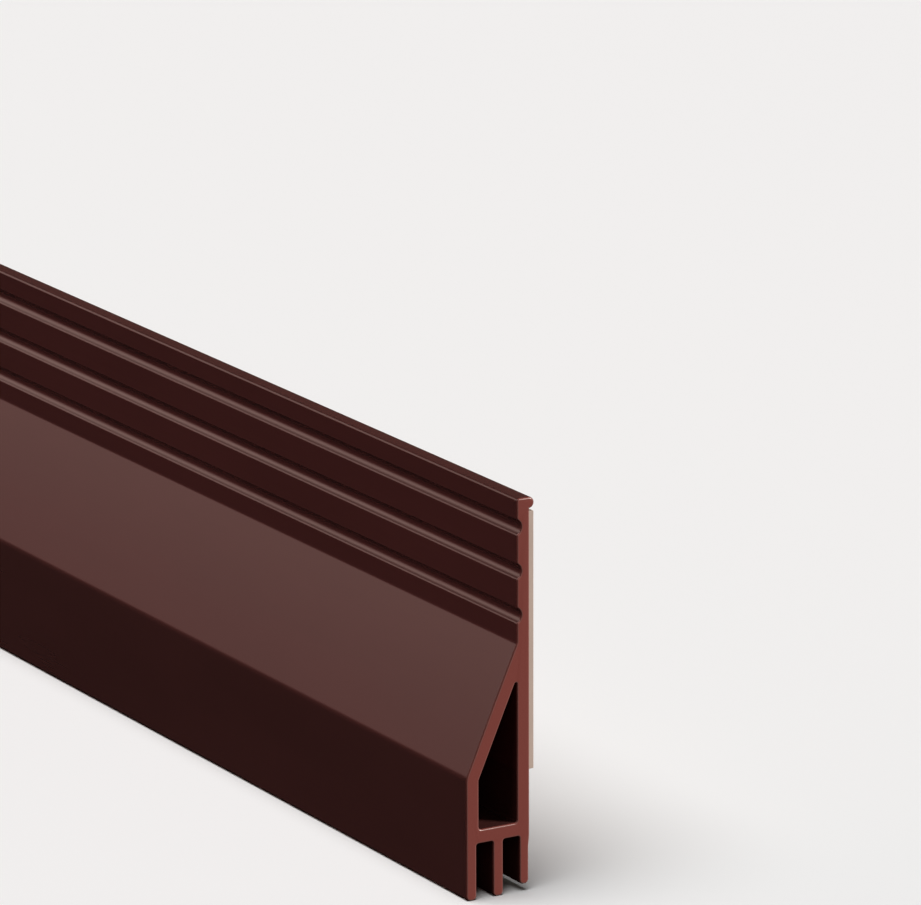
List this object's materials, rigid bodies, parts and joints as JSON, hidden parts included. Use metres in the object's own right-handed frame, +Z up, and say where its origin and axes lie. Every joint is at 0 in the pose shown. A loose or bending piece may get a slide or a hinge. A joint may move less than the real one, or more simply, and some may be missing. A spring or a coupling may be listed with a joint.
{
  "type": "under-door draught stopper",
  "caption": "Extruded rubber draught stopper strip for the foot of a door: grooved web, sloping front, hollow air chamber, hanging fins and adhesive tape on its back.",
  "frame": {"origin": "centre of the tape's outer face, which is the plane that the strip is stuck to, half way along its length", "axes": "+X along the strip, +Y out of its back into the surface that it is stuck to, +Z up; the face looks to -Y and the fins hang to -Z"},
  "size_m": [1, 0.0097, 0.0499],
  "materials": {
    "seal_rubber": "dark red-brown, satin",
    "mounting_tape": "taupe, matt"
  },
  "bodies": {
    "root": {"seal_profile": "seal_rubber", "adhesive_tape": "mounting_tape"}
  },
  "joints": []
}
